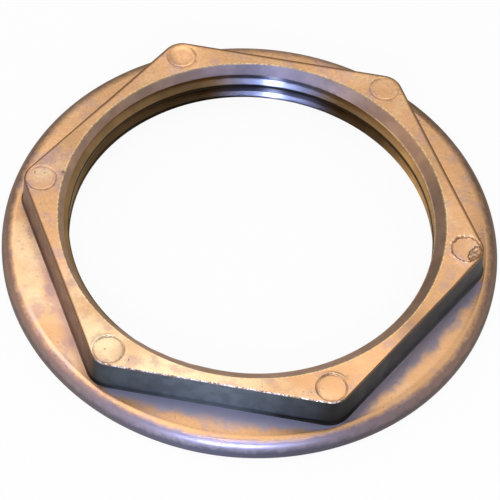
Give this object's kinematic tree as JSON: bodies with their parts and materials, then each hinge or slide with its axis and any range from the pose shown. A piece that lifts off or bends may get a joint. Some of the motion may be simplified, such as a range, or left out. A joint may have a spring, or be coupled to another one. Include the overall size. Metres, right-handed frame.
{
  "type": "die-cast flanged jam nut",
  "caption": "Low hexagonal jam nut on a round flange, with a wide coarse-threaded bore, that clamps a threaded drain body from below.",
  "frame": {"origin": "axis of the thread at the flange's flat underside", "axes": "+Z along the thread's axis from the flange towards the hexagon, +X through a corner of the hexagon, -Y through one of its flats"},
  "size_m": [0.1132, 0.1132, 0.012],
  "materials": {
    "cast_metal": "satin die-cast skin, copper-tan, with machined bore"
  },
  "bodies": {
    "root": {"jam_nut": "cast_metal"}
  },
  "joints": []
}
